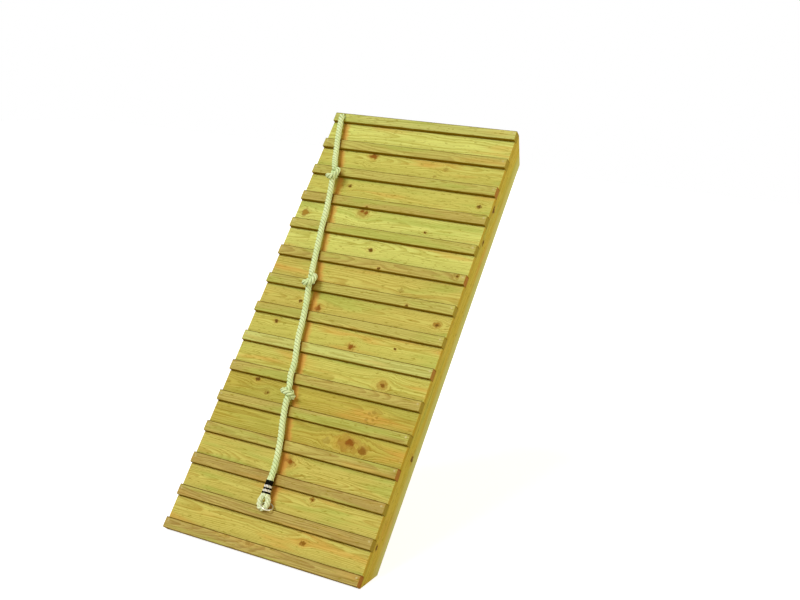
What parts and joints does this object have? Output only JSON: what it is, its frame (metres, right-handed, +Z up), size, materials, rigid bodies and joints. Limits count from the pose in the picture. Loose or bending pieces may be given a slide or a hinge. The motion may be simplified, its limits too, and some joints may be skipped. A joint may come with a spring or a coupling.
{
  "type": "climbing ramp",
  "caption": "Leaning wooden climbing ramp with raised battens and a knotted rope that ends in a spliced eye with a steel ring.",
  "frame": {"origin": "middle of the footprint of the timber, on the ground", "axes": "+X across the ramp to the climber's right as they face it, +Y the way the climber faces, +Z up; the ramp rises along +Y and +Z at 54 degrees to the ground, so its feet sit level"},
  "size_m": [0.9, 1.2875, 1.6569],
  "materials": {
    "batten_timber": "planed and sanded pressure-treated pine, a little greyer than the boards",
    "board_timber": "planed pressure-treated pine with knots",
    "stringer_timber": "planed pressure-treated pine, grain along the plank",
    "rope": "matt laid rope of pale three-strand yarn",
    "whipping": "tight black twine",
    "ring_steel": "bright zinc-plated steel"
  },
  "bodies": {
    "ramp": {"stringer_left": "stringer_timber", "stringer_right": "stringer_timber", "batten_01": "batten_timber", "batten_02": "batten_timber", "batten_03": "batten_timber", "batten_04": "batten_timber", "batten_05": "batten_timber", "batten_06": "batten_timber", "batten_07": "batten_timber", "batten_08": "batten_timber", "batten_09": "batten_timber", "batten_10": "batten_timber", "batten_11": "batten_timber", "batten_12": "batten_timber", "batten_13": "batten_timber", "batten_14": "batten_timber", "batten_15": "batten_timber", "board_01": "board_timber", "board_02": "board_timber", "board_03": "board_timber", "board_04": "board_timber", "board_05": "board_timber", "board_06": "board_timber", "board_07": "board_timber", "board_08": "board_timber", "board_09": "board_timber", "board_10": "board_timber", "board_11": "board_timber", "board_12": "board_timber", "board_13": "board_timber", "board_14": "board_timber", "climbing_rope": "rope", "whipping_upper": "whipping", "whipping_middle": "whipping", "whipping_lower": "whipping"},
    "ring": {"steel_ring": "ring_steel"}
  },
  "joints": [
    {"name": "ring_swing", "type": "hinge", "parent": "ramp", "child": "ring", "pos_m": [-0.04437, -0.52324, 0.18702], "axis": [-0.9659, -0.1521, -0.2094], "range_deg": [0, 45]}
  ]
}
